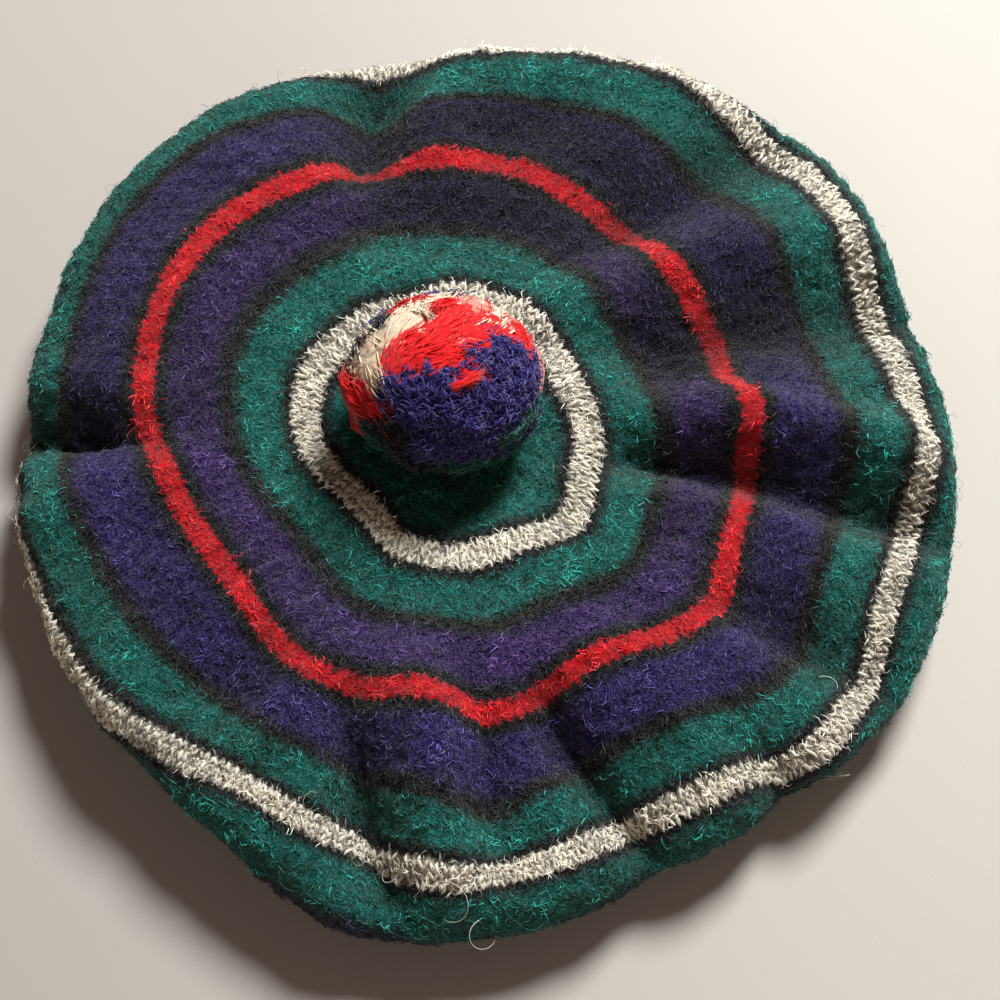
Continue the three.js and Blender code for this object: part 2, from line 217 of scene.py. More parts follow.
def top_layer(degrees, along):
    """The middle layer of the crown's top, from its middle (along 0) to its edge (along turn)."""
    turn, rim = lay_at("turn", degrees), lay_at("rim", degrees)
    rim_high = lay_at("rimHigh", degrees)
    roll = EDGE_ROLL / CROWN_RADIUS
    shoulder = turn - math.pi / 2 * roll
    ring = (RING_ALONG, lay_at("ring", degrees))
    red = (RED_ALONG, lay_at("red", degrees))
    flat = through([(0, 0), ring, red, (shoulder, rim - roll), (turn, rim)], along)
    dish = [(-RING_ALONG, RING_HIGH), (0, 1 - MIDDLE_DIP / CROWN_RISE), (RING_ALONG, RING_HIGH)]
    edge = [(RED_ALONG, lay_at("redHigh", degrees)), (shoulder, rim_high), (turn, rim_high - roll)]
    high = through(dish + edge, along)
    bend = (along - shoulder) / roll
    rolled = along > shoulder
    out = np.where(rolled, rim - roll * (1 - np.sin(bend)), flat)
    high = np.where(rolled, rim_high - EDGE_ROLL / CROWN_RISE * (1 - np.cos(bend)), high)
    drop, side, shift = folds_at(degrees, along, out)
    angle = np.radians(degrees) + side
    away = CROWN_RADIUS * (out + shift)
    lowest = UNDER_HANG + 2 * CLOTH_WALL + SEAM_GAP
    height = np.maximum(CROWN_RISE * (high - drop), lowest)
    return np.stack([away * np.cos(angle), away * np.sin(angle), height], -1)


def under_ways(degrees):
    """The edge, the way inward from it, and the seam at the headband, for each direction."""
    edge = top_layer(degrees, lay_at("turn", degrees))
    angle = np.arctan2(edge[..., 1], edge[..., 0])
    radius = BAND_INSIDE + BAND_WALL + SEAM_GAP
    seam = np.stack([BAND_SLIP[0] + radius * np.cos(angle), BAND_SLIP[1] + radius * np.sin(angle),
                     np.full_like(angle, BAND_HEIGHT - SEAM_DROP)], -1)
    inward = (seam - edge) * [1, 1, 0]
    reach = np.linalg.norm(inward, axis=-1, keepdims=True)
    return edge, inward / reach, reach, seam


def under_layer(degrees, under):
    """The middle layer from the edge (under 0), round its roll, back to the seam (under 1)."""
    edge, inward, reach, seam = under_ways(degrees)
    up = np.array([0, 0, 1.0])
    roll = np.minimum(EDGE_ROLL, edge[..., 2:] - UNDER_HANG)
    bend = (under / ROLL_UNDER * math.pi / 2)[..., None]
    rolling = edge + inward * EDGE_ROLL * (1 - np.cos(bend)) - up * roll * np.sin(bend)
    rolled = edge + inward * EDGE_ROLL - up * roll
    hang, arrive = rolled + inward * reach * 0.3, seam - inward * reach * 0.35
    t = ((under - ROLL_UNDER) / (1 - ROLL_UNDER))[..., None]
    leave, land = (1 - t) ** 3 * rolled, t**3 * seam
    curve = leave + 3 * (1 - t) ** 2 * t * hang + 3 * (1 - t) * t * t * arrive + land
    return np.where(bend < math.pi / 2, rolling, curve)


def edge_reach(degrees):
    """How far along the cloth, in millimetres, the edge is, its roll ends and the seam is."""
    edge, inward, reach, seam = under_ways(degrees)
    turn = lay_at("turn", degrees) * CROWN_RADIUS
    roll = EDGE_ROLL * math.pi / 2
    return turn, turn + roll, turn + roll + np.maximum(reach[..., 0] - EDGE_ROLL, 5)


def cloth_layer(degrees, distance):
    """The middle layer of the whole crown at a distance along the cloth from its middle."""
    degrees, distance = np.broadcast_arrays(np.asarray(degrees, float), np.asarray(distance, float))
    turn, rolled, seam = edge_reach(degrees)
    top = top_layer(degrees, np.minimum(distance, turn) / CROWN_RADIUS)
    in_roll = (distance - turn) / (rolled - turn) * ROLL_UNDER
    in_under = ROLL_UNDER + (1 - ROLL_UNDER) * (distance - rolled) / (seam - rolled)
    under = under_layer(degrees, np.clip(np.where(distance < rolled, in_roll, in_under), 0, 1))
    return np.where((distance < turn)[..., None], top, under)


class Ripple:
    """A smooth random relief: many seeded waves of lengths between two sizes, in millimetres."""

    def __init__(self, seed, shortest, longest, waves=40):
        chance = np.random.default_rng(seed)
        way = chance.normal(size=(waves, 3))
        length = chance.uniform(shortest, longest, waves)
        self.ways = (way / np.linalg.norm(way, axis=1, keepdims=True) * (2 * math.pi / length)[:, None]).T
        self.phase = chance.uniform(0, 2 * math.pi, waves)
        self.share = math.sqrt(2 / waves)

    def at(self, points):
        """The relief at some points."""
        flat = points.reshape(-1, 3)
        total = np.zeros(len(flat))
        for way, phase in zip(self.ways.T, self.phase):
            total += np.sin(flat @ way + phase)
        return (total * self.share).reshape(points.shape[:-1])


# The two reliefs of the fulled cloth, and how far each rises, in millimetres
CRUMPLE = Ripple(3, 14, 40)
CRUMPLE_HIGH = 0.42
PEBBLE = Ripple(4, 3.2, 7.5)
PEBBLE_HIGH = 0.3


def cloth_frame(degrees, distance):
    """Points of the middle layer with the way outward from the cloth, round it and along it."""
    point = cloth_layer(degrees, distance)
    round_step, along_step = 0.25, 0.35
    low = np.maximum(distance - along_step, 0.2)
    round_way = cloth_layer(degrees + round_step, distance) - cloth_layer(degrees - round_step, distance)
    along_way = cloth_layer(degrees, distance + along_step) - cloth_layer(degrees, low)
    round_way, along_way = unit(round_way), unit(along_way)
    return point, unit(np.cross(along_way, round_way)), round_way, along_way


def cloth_face(degrees, distance, lift=0.0):
    """Points on the crown's outer face, with the same three ways."""
    point, outward, round_way, along_way = cloth_frame(degrees, distance)
    relief = CRUMPLE_HIGH * CRUMPLE.at(point) + PEBBLE_HIGH * PEBBLE.at(point)
    proud = (CLOTH_WALL / 2 + relief + lift)[..., None]
    return point + outward * proud, outward, round_way, along_way


class Value:
    """One output of a shader node, on which sums can be written."""

    def __init__(self, wool, socket):
        self.wool, self.socket = wool, socket

    def math(self, operation, *others):
        """A Math node on this value."""
        return self.wool.node("ShaderNodeMath", {"operation": operation}, [self, *others])

    def __add__(self, other):
        return self.math("ADD", other)

    def __sub__(self, other):
        return self.math("SUBTRACT", other)

    def __rsub__(self, other):
        return self.wool.node("ShaderNodeMath", {"operation": "SUBTRACT"}, [other, self])

    def __mul__(self, other):
        return self.math("MULTIPLY", other)

    def __truediv__(self, other):
        return self.math("DIVIDE", other)

    def __gt__(self, other):
        return self.math("GREATER_THAN", other)

    def __mod__(self, other):
        return self.math("FLOORED_MODULO", other)

    def __abs__(self):
        return self.math("ABSOLUTE")

    __radd__, __rmul__ = __add__, __mul__

    def clear(self, low, high):
        """From 0 at low to 1 at high, smoothly."""
        sockets = {"Value": self, "From Min": low, "From Max": high}
        return self.wool.node("ShaderNodeMapRange", {"interpolation_type": "SMOOTHSTEP"}, sockets)

    def within(self, rings):
        """1 inside two rings, each given by where it starts, is whole, starts to end and has ended."""
        first, second = (self.clear(a, b) - self.clear(c, d) for a, b, c, d in rings)
        return first + second


class Wool:
    """A procedural material for one kind of wool, or for the plain table."""

    def __init__(self, name, **constants):
        self.material = bpy.data.materials.new(name)
        self.material.use_nodes = True
        self.tree = self.material.node_tree
        self.surface = self.tree.nodes["Principled BSDF"]
        for socket, value in constants.items():
            self.surface.inputs[socket.replace("_", " ")].default_value = value

    def node(self, kind, settings=None, inputs=(), output=0):
        """A node with its settings, a ramp's stops among them, and the values or links of its sockets."""
        node = self.tree.nodes.new(kind)
        for name, value in (settings or {}).items():
            if name == "stops":
                set_stops(node.color_ramp, *value)
            else:
                setattr(node, name, value)
        pairs = inputs.items() if isinstance(inputs, dict) else enumerate(inputs)
        for socket, value in pairs:
            if isinstance(value, Value):
                self.tree.links.new(value.socket, node.inputs[socket])
            else:
                node.inputs[socket].default_value = value
        return Value(self, node.outputs[output])

    def noise(self, size, detail, distortion=0.0):
        """Random grain of a size in millimetres, from 0 to 1."""
        where = self.node("ShaderNodeTexCoord", output="Object")
        sockets = {"Vector": where, "Scale": 1 / (size * MM), "Detail": detail, "Roughness": 0.6}
        return self.node("ShaderNodeTexNoise", None, {**sockets, "Distortion": distortion})

    def ramp(self, value, stops, smooth="LINEAR"):
        """Colours at places from 0 to 1."""
        return self.node("ShaderNodeValToRGB", {"stops": (smooth, stops)}, [value])

    def curls(self, size, thin):
        """Fine curled lines of a size in millimetres, where a smooth grain crosses its middle."""
        return 1.0 - abs(self.noise(size, 1, 0.7) - 0.5).clear(0.0, thin)

    def turns(self, share, rows):
        """A number that changes with the direction round the crown, from rows of directions and numbers."""
        stops = [(at / 360, (value, value, value)) for at, value in rows]
        return self.node("ShaderNodeSeparateColor", None, [self.ramp(share % 1.0, stops, "EASE")])

    def stripes(self, distance, kind, dark):
        """The colour at a distance along the cloth: kind 0 is the yarn, and 1 its fibres."""
        stops = []
        for (end, dye), (_, beyond) in zip(STRIPES[:-2], STRIPES[1:-1]):
            soft = min(BORDERS.get(name, SOFT_BORDER) for name in (dye, beyond))
            stops += [((end - soft) / STRIPE_REACH, linear(*DYES[dye][kind]))]
            stops += [((end + soft) / STRIPE_REACH, linear(*DYES[beyond][kind]))]
        colour = self.ramp(distance / STRIPE_REACH, stops)
        # The purple stripes darken toward night blue by the dark share: night-blue yarn in part, painted
        # shade in part
        night, navy = ((*linear(*DYES[name][kind]), 1) for name in ("night", "navy"))
        colour = self.mix(distance.within(PURPLE_RINGS) * dark, colour, night)
        return self.mix(distance.clear(*NAVY_FROM), colour, navy)

    def wander(self, share, distance):
        """The same as the wander function, worked out in the material."""
        stops = [(row[0] / 360, [0.5 + shift / WANDER_SPAN for shift in row[1:]]) for row in WANDER]
        ramp = self.ramp(share % 1.0, stops)
        parts = [self.node("ShaderNodeSeparateColor", None, [ramp], output) for output in range(3)]
        inner, red, outer = ((part - 0.5) * WANDER_SPAN for part in parts)
        to_red, to_outer = (distance.clear(*part) for part in WANDER_PARTS)
        return inner * (1.0 - to_red) + red * (to_red - to_outer) + outer * to_outer

    def mix(self, factor, first, second):
        """Two colours mixed."""
        settings = {"data_type": "RGBA", "blend_type": "MIX"}
        return self.node("ShaderNodeMix", settings, {0: factor, 6: first, 7: second}, output=2)

    def shade(self, colour, factor):
        """A colour made lighter or darker by a factor."""
        return self.node("ShaderNodeVectorMath", {"operation": "SCALE"}, {0: colour, "Scale": factor})

    def bump(self, height, depth):
        """A relief of a depth in millimetres."""
        sockets = {"Height": height, "Distance": depth * MM, "Strength": 1.0}
        return self.node("ShaderNodeBump", None, sockets)

    def finish(self, **links):
        """The material, with values linked to sockets of its shader."""
        for socket, value in links.items():
            self.tree.links.new(value.socket, self.surface.inputs[socket.replace("_", " ")])
        return self.material


def set_stops(ramp, smooth, stops):
    """The places and colours of a ramp, and how it runs between them."""
    ramp.interpolation = smooth
    while len(ramp.elements) < len(stops):
        ramp.elements.new(0.5)
    for element, (place, colour) in zip(ramp.elements, stops):
        element.position = place
        element.color = (*colour, 1)


def linear(red, green, blue):
    """A screen colour, 0 to 255, as Blender's linear light."""
    values = np.array([red, green, blue]) / 255
    return tuple(np.where(values <= 0.04045, values / 12.92, ((values + 0.055) / 1.055) ** 2.4))


# The yarns and their loose fibres, as screen colours
DYES = {
    "green": ((0, 84, 77), (48, 194, 176)),
    "dark": ((8, 9, 13), (62, 65, 72)),
    "white": ((228, 223, 206), (250, 247, 236)),
    "purple": ((44, 22, 84), (140, 106, 196)),
    "violet": ((32, 20, 88), (126, 104, 200)),
    "iris": ((44, 34, 120), (150, 140, 226)),
    "charcoal": ((9, 10, 15), (68, 72, 80)),
    "red": ((226, 4, 22), (255, 74, 84)),
    "scarlet": ((236, 4, 16), (255, 70, 66)),
    "navy": ((16, 14, 42), (78, 76, 120)),
    "cream": ((240, 222, 194), (250, 240, 222)),
    "tan": ((236, 210, 178), (246, 228, 204)),
    "pink": ((240, 150, 136), (250, 212, 198)),
    "night": ((5, 5, 24), (36, 34, 66)),
}

# The stripes from the middle to the seam: where each ends along the cloth, in millimetres, and its yarn
STRIPES = [
    (32.8, "green"), (36, "dark"), (44, "white"), (47, "dark"), (58.5, "green"), (65.0, "charcoal"),
    (76.4, "purple"), (80.6, "dark"), (86.4, "red"), (90.4, "dark"), (105.4, "violet"), (111.0, "charcoal"),
    (123.4, "green"), (127, "dark"), (135, "white"), (138.2, "dark"), (152, "green"), (400, "navy"),
]
STRIPE_REACH = 160.0
# How soft a stripe's borders are beside two of the yarns, and beside any other, in millimetres each way
BORDERS = {"white": 0.3, "red": 0.5}
SOFT_BORDER = 1.5
# The white and the purple stripes: where each starts, is whole, starts to end and has ended
WHITE_RINGS = ((35.2, 36.2, 43.8, 44.8), (126.2, 127.2, 134.8, 135.8))
PURPLE_RINGS = ((63, 67, 75, 78), (89, 92, 103, 107))
# Between these distances the green of the edge gives way to the navy underside
NAVY_FROM = (148, 156)
# How far the stripes wander outward from their places, by direction, in millimetres: at the inner white
# ring, at the red ring and at the outer white ring
WANDER = [
    (0, 0, -3, 0), (12, 0, -3.5, -2), (22, -1, 0.5, -2), (40, 0.5, -1.5, 2), (50, 0.5, 2.5, 1),
    (70, -0.5, 3.7, -1.5), (90, 1, 5, -3), (107, -1, 5.5, 0), (119, -1, 0.8, 0), (150, 1, 0.7, 0),
    (185, 0, 1, -2), (215, -2, -1.5, -2), (235, -1.5, -2, 0), (250, 1, -2, -2.5), (260, 0, -1.5, -2),
    (271, 0, -2.5, 4), (285, 0, 0, 1), (310, -1.5, 0, -1), (320, 0, -0.5, 3), (330, 0, -2, -1),
    (350, 0, -0.5, 2), (360, 0, -3, 0),
]
# The span of wander, in millimetres, that a ramp's colours from 0 to 1 stand for, and the distances between
# which one ring's wander gives way to the next ring's
WANDER_SPAN = 20.0
WANDER_PARTS = ((50, 66), (98, 114))
# How far the two purple stripes turn to night blue, in directions round the crown: partly the night-blue
# yarn they hold, partly painted shade on the far side of the crown and in its folds
NIGHT_YARN_AND_SHADE = ((0, 0.2), (12, 0.6), (22, 0.95), (36, 0.7), (48, 0.45), (60, 0.9), (85, 0.95), (100, 0.9),
               (122, 0.45), (150, 0.4), (176, 0.6), (190, 0.15), (230, 0.3), (262, 0.1), (300, 0.05),
               (335, 0.45), (350, 0.3), (360, 0.2))
# The stitches round the crown in its inner, middle and outer parts, each up to a distance
STITCHES = ((52.0, 96), (108.0, 200), (400.0, 320))
# The height of a row of stitches, in millimetres
STITCH_ROW = 2.6


def wander(degrees, distance):
    """How far the stripes have wandered outward at places on the cloth, in millimetres."""
    at, *rings = np.array(WANDER).T
    inner, red, outer = (np.interp(np.asarray(degrees) % 360, at, ring) for ring in rings)
    to_red, to_outer = (ease(distance, *part) for part in WANDER_PARTS)
    return inner * (1 - to_red) + red * (to_red - to_outer) + outer * to_outer


def dye_colours(names):
    """The yarn colour and the fibre colour of each name."""
    order = list(DYES)
    pairs = np.array([[linear(*yarn), linear(*fibre)] for yarn, fibre in DYES.values()])
    return pairs[[order.index(name) for name in names]]


def stripe_colours(distance):
    """The yarn's colour and its fibres' at distances along the cloth."""
    ends, names = zip(*STRIPES)
    return dye_colours(names)[np.minimum(np.searchsorted(ends, distance), len(ends) - 1)]


def dyed(pairs, blend):
    """Colours between the yarns' and their fibres', by a share for each."""
    blend = blend.reshape(-1, 1)
    return np.maximum(pairs[:, 0] * (1 - blend) + pairs[:, 1] * blend, 0)


def crown_wool():
    """The fulled stripes: felted yarns under fine curled fibres, with fuzzy borders, and painted shade in
    the folds and on the purple stripes.
    """
    wool = Wool("striped crown wool", Roughness=0.95, Specular_IOR_Level=0.12, Sheen_Weight=0.15,
                Sheen_Roughness=0.5)
    knit = wool.node("ShaderNodeUVMap", {"uv_map": "knit"})
    share = wool.node("ShaderNodeSeparateXYZ", None, [knit], output=0)
    distance = wool.node("ShaderNodeSeparateXYZ", None, [knit], output=1)
    distance = distance - wool.wander(share, distance)
    count = STITCHES[0][1]
    for (end, here), (_, beyond) in zip(STITCHES, STITCHES[1:]):
        count = (distance > end) * (beyond - here) + count
    chevron = abs(((share * count) % 1.0) - 0.5) * 2.0
    fuzz = wool.noise(1.1, 3) - 0.5
    drift = wool.noise(7.0, 1) - 0.5
    # The borders are fuzzy, drift a little and step with the stitches
    border = distance + fuzz * 3.4 + drift * 2.2 + (chevron - 0.5) * 1.1
    # Night-blue yarn in part, painted shade in part: the purple stripes darken by direction round the crown
    dark = wool.turns(share + drift * 0.02, NIGHT_YARN_AND_SHADE)
    yarn, fibre = (wool.stripes(border, kind, dark) for kind in (0, 1))
    lines = wool.curls(1.3, 0.06) + wool.curls(1.9, 0.055) * 0.8
    lump = wool.noise(3.2, 2)
    # The yarn is mottled, and darker in the low places of the same grain that bumps it: painted shade there
    colour = wool.mix(lines * 0.34, wool.shade(yarn, 0.1 + lump * 1.1), fibre)
    row = ((distance + chevron * 1.7) / STITCH_ROW) % 1.0
    leg = 1.0 - abs(row * 2.0 - 1.0).math("POWER", 2.5)
    gap = 1.0 - abs(chevron * 2.0 - 1.0).math("POWER", 6.0)
    stitch = leg * gap
    # On the white stripes the stitches stay plain to see, with painted shade in the gaps between their legs
    crisp = distance.within(WHITE_RINGS)
    # The dye attribute holds the painted shade down in the folds
    tone = wool.node("ShaderNodeAttribute", {"attribute_name": "dye"}, output=2)
    colour = wool.shade(colour, (1.0 - crisp * (1.0 - stitch) * 0.4) * tone)
    height = lines * 0.35 + lump * 0.6 + stitch * (crisp * 0.6 + 0.15)
    return wool.finish(Base_Color=colour, Normal=wool.bump(height, 1.0))


def make_piece(name, points, faces, material, colours=None):
    """A mesh, riding with the hat, from points in millimetres about the crown's middle and faces."""
    mesh = bpy.data.meshes.new(name)
    corners = np.concatenate([np.ravel(part) for part in faces])
    sizes = np.concatenate([np.full(len(part), np.shape(part)[1]) for part in faces])
    mesh.vertices.add(len(points))
    mesh.vertices.foreach_set("co", ((points + CROWN_MIDDLE) * MM).ravel())
    mesh.loops.add(len(corners))
    mesh.loops.foreach_set("vertex_index", corners)
    mesh.polygons.add(len(sizes))
    mesh.polygons.foreach_set("loop_start", np.cumsum(sizes) - sizes)
    mesh.polygons.foreach_set("use_smooth", np.ones(len(sizes), bool))
    mesh.update(calc_edges=True)
    if colours is not None:
        layer = mesh.color_attributes.new("dye", "FLOAT_COLOR", "POINT")
        layer.data.foreach_set("color", np.insert(colours, 3, 1, axis=1).ravel())
    mesh.materials.append(material)
    piece = bpy.data.objects.new(name, mesh)
    bpy.context.collection.objects.link(piece)
    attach(piece, "root")
    return piece


def strand_piece(name, paths, ups, radii, profile, sides, material, colours):
    """Closed strands along paths, each of a profile's widths and a point, and each in one colour."""
    count, places = paths.shape[:2]
    rings = places - 1
    ways = unit(np.gradient(paths, axis=1)[:, :rings])
    side = unit(np.cross(ways, ups[:, None]))
    rise = np.cross(side, ways)
    turn = np.arange(sides) * 2 * math.pi / sides
    wide = (radii[:, None] * np.asarray(profile))[..., None, None]
    ring = side[:, :, None] * np.cos(turn)[:, None] + rise[:, :, None] * np.sin(turn)[:, None]
    body = paths[:, :rings, None] + ring * wide
    points = np.concatenate([body.reshape(count, -1, 3), paths[:, -1:]], 1).reshape(-1, 3)
    each = rings * sides + 1
    first = (np.arange(count) * each)[:, None, None]
    walls, point = ring_faces(rings, sides)[:, [0, 3, 2, 1]], fan(each - 1, each - 1 - sides, sides)
    faces = [(first + part).reshape(-1, part.shape[1]) for part in (walls, point)]
    faces += [first[:, 0] + np.arange(sides)[::-1]]
    return make_piece(name, points, faces, material, np.repeat(colours, each, axis=0))


def between(first, second, columns, flip=False):
    """Quads between two closed rows of points, by where each row starts."""
    here = np.arange(columns)
    after = (here + 1) % columns
    quads = np.stack([first + here, second + here, second + after, first + after], -1)
    return quads[:, ::-1] if flip else quads


def ring_faces(rows, columns, shift=0, flip=False):
    """Quads between all rows of points that close round."""
    starts = shift + np.arange(rows) * columns
    return np.concatenate([between(*pair, columns, flip) for pair in zip(starts, starts[1:])])


def fan(tip, first, columns, flip=False):
    """Triangles from a tip to the closed row of points that starts at first."""
    here = np.arange(columns)
    ends = [first + here, first + (here + 1) % columns]
    return np.stack([np.full(columns, tip), *(ends[::-1] if flip else ends)], -1)


# The crown cloth's points round it, and its rows on the top, on the rolled edge and under it
CLOTH_COLUMNS = 600
OUTER_ROWS = (92, 16, 14)
INNER_ROWS = (10, 5, 7)


def crown_cloth():
    """The crown in one closed cloth: its outer face with the felted relief, and its smooth inner face."""
    columns = CLOTH_COLUMNS
    degrees = np.arange(columns) * 360 / columns
    turn, rolled, seam = edge_reach(degrees)

    def distances(top, roll, under):
        shares = [np.linspace(0.012, 1, top, endpoint=False)[:, None] * turn]
        shares += [turn + np.linspace(0, 1, roll, endpoint=False)[:, None] * (rolled - turn)]
        shares += [rolled + np.linspace(0, 1, under)[:, None] * (seam - rolled)]
        return np.concatenate(shares)

    outer_reach, inner_reach = distances(*OUTER_ROWS), distances(*INNER_ROWS)
    outer = cloth_face(degrees, outer_reach)[0]
    middle, outward = cloth_frame(degrees, inner_reach)[:2]
    inner = middle - outward * CLOTH_WALL / 2
    # The edge at the headband is cut upright
    outer[-1] = cloth_layer(degrees, seam) - [0, 0, CLOTH_WALL / 2]
    inner[-1] = cloth_layer(degrees, seam) + [0, 0, CLOTH_WALL / 2]
    tips = np.array([outer[0].mean(0), inner[0].mean(0)])
    points = np.concatenate([outer.reshape(-1, 3), inner.reshape(-1, 3), tips])
    first_inner = outer_reach.size
    tip = first_inner + inner_reach.size
    faces = [ring_faces(len(outer_reach), columns)]
    faces += [ring_faces(len(inner_reach), columns, first_inner, flip=True)]
    faces += [between(first_inner - columns, tip - columns, columns)]
    faces += [fan(tip, 0, columns), fan(tip + 1, first_inner, columns, flip=True)]
    reaches = np.concatenate([outer_reach, inner_reach])
    # Painted shade: the cloth's colour is darkened down in the folds, carried in its dye attribute
    tones = np.append(painted_fold_shade(degrees, reaches), [1, 1])[:, None].repeat(3, axis=1)
    piece = make_piece("crown_cloth", points, faces, crown_wool(), tones)
    shares = np.append(np.tile(np.arange(columns) / columns, len(reaches)), [0, 0])
    lay_knit(piece.data, shares, np.append(reaches, [0, 0]))
    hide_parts("crown")


def lay_knit(mesh, shares, reaches):
    """The knitting's own coordinates: the share of the way round, and millimetres along the cloth."""
    corners = np.empty(len(mesh.loops), int)
    mesh.loops.foreach_get("vertex_index", corners)
    starts = np.empty(len(mesh.polygons), int)
    mesh.polygons.foreach_get("loop_start", starts)
    share = shares[corners]
    face = np.searchsorted(starts, np.arange(len(corners)), side="right") - 1
    highest = np.zeros(len(starts))
    np.maximum.at(highest, face, share)
    # The faces that close the round keep their shares on one side of the join
    share = np.where((highest[face] > 0.9) & (share < 0.1), share + 1, share)
    layer = mesh.uv_layers.new(name="knit")
    layer.data.foreach_set("uv", np.stack([share, reaches[corners]], -1).ravel())


def dark_rib():
    """The headband's plain dark yarn."""
    wool = Wool("dark band wool", Roughness=0.95, Specular_IOR_Level=0.12, Sheen_Weight=0.2)
    curl = wool.noise(0.8, 3, 0.6)
    colour = wool.mix(curl, (*linear(14, 13, 24), 1), (*linear(46, 42, 72), 1))
    return wool.finish(Base_Color=colour, Normal=wool.bump(curl, 0.5))


def headband():
    """The ribbed headband, standing on its flat foot."""
    columns, ribs, rib_depth, edge_round = 540, 90, 0.45, 1.1
    turn = np.radians(np.arange(columns) * 360 / columns)
    outer, inner = BAND_INSIDE + BAND_WALL, BAND_INSIDE
    section = [(outer, share * BAND_HEIGHT, 1) for share in np.linspace(0, 1, 14)]
    section += [(outer - share * BAND_WALL, BAND_HEIGHT, 0) for share in np.linspace(0.2, 0.8, 4)]
    section += [(inner, share * BAND_HEIGHT, -1) for share in np.linspace(1, 0, 14)]
    section += [(outer - share * BAND_WALL, 0, 0) for share in np.linspace(0.8, 0.2, 4)]
    rib = rib_depth * np.cos(turn * ribs)
    rows = []
    for radius, height, side in section:
        level = min(height, BAND_HEIGHT - height)
        rounding = side * edge_round * (1 - ease(level, 0, 1.6))
        away = radius - rounding + side * (rib - rib_depth)
        rows.append(np.stack([BAND_SLIP[0] + away * np.cos(turn), BAND_SLIP[1] + away * np.sin(turn),
                              np.full(columns, height)], -1))
    last = (len(rows) - 1) * columns
    faces = [ring_faces(len(rows), columns, flip=True), between(last, 0, columns, flip=True)]
    piece = make_piece("headband_rib", np.concatenate(rows), faces, dark_rib())
    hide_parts("headband")


def fibre_wool(name):
    """Loose fibres and yarns, in the colours that their mesh carries."""
    wool = Wool(name, Roughness=0.8, Specular_IOR_Level=0.2, Sheen_Weight=0.3)
    # On the crown's fibres these colours hold painted shade as well
    dye = wool.node("ShaderNodeAttribute", {"attribute_name": "dye"})
    grain = wool.noise(0.4, 2)
    return wool.finish(Base_Color=wool.shade(dye, 0.7 + grain * 0.6), Normal=wool.bump(grain, 0.15))


# The rows of stitches that stay plain to see: first and last distance, rows, and stitches round
STITCHED = ((36.2, 44.0, 3, 96), (127.2, 135.2, 3, 320))


def white_stitches():
    """The legs of every V in the two white stripes, each a soft strand."""
    chance = np.random.default_rng(11)
    paths, ups = [], []
    # One leg of a V: its five places round, along and above the cloth
    rounds = np.array([-0.5, -0.4, -0.2, -0.07, -0.03])
    spans = np.array([-0.65, -0.25, 0.25, 0.6, 0.75])
    heights = np.array([-0.8, 0.15, 0.3, -0.05, -0.5])
    for low, high, rows, stitches in STITCHED:
        pitch = (high - low) / rows
        row, stitch, side = np.meshgrid(np.arange(rows), np.arange(stitches), [-1, 1], indexing="ij")
        row, stitch, side = (grid.ravel()[:, None] for grid in (row, stitch, side))
        count = len(row)
        sway = chance.normal(0, 0.12, (count, 1)) + chance.normal(0, 0.09, (count, 5))
        place = (stitch + 0.5 + side * rounds + sway) / stitches
        distance = low + (row + 0.5 + spans) * pitch + chance.normal(0, 0.3, (count, 1))
        distance = distance + wander(place * 360, distance)
        raised = heights * 0.75 + chance.normal(0, 0.2, (count, 1)) - 0.1
        points, outward = cloth_face(place * 360, distance, raised)[:2]
        paths.append(points)
        ups.append(outward[:, 2])
    paths, ups = np.concatenate(paths), np.concatenate(ups)
    radii = 0.6 * chance.uniform(0.7, 1.2, len(paths))
    colours = dye_colours(["white"])[0, 0] * chance.uniform(0.8, 1.1, (len(paths), 1))
    piece = strand_piece("white_stitches", paths, ups, radii, (0.5, 0.95, 1.0, 0.6), 4,
                         fibre_wool("white yarn"), colours)


def curled(roots, outward, round_way, along_way, heading, curl, length, rise, places):
    """Paths of fibres that leave a root in a heading and curl as they go."""
    path = [roots]
    step = (length / places)[:, None]
    for k in range(places):
        share = (k + 0.5) / places
        angle = (heading + curl * share)[:, None]
        way = np.cos(angle) * round_way + np.sin(angle) * along_way
        way = way + outward * (rise * math.cos(math.pi * share * 0.9))[:, None]
        path.append(path[-1] + unit(way) * step)
    return np.stack(path, 1)


# How far fibres stray over the borders between the stripes, by distance from the middle
STRAYING = ((34, 0.6), (47, 0.6), (60, 1.4), (65, 1.4), (78, 0.8), (82, 0.5), (85, 0.5), (92, 0.8),
            (105, 1.6), (111, 1.6), (122, 1.0), (126, 0.6))


# The share of the crown's fibres that are bright
PALE_SHARE = 0.36


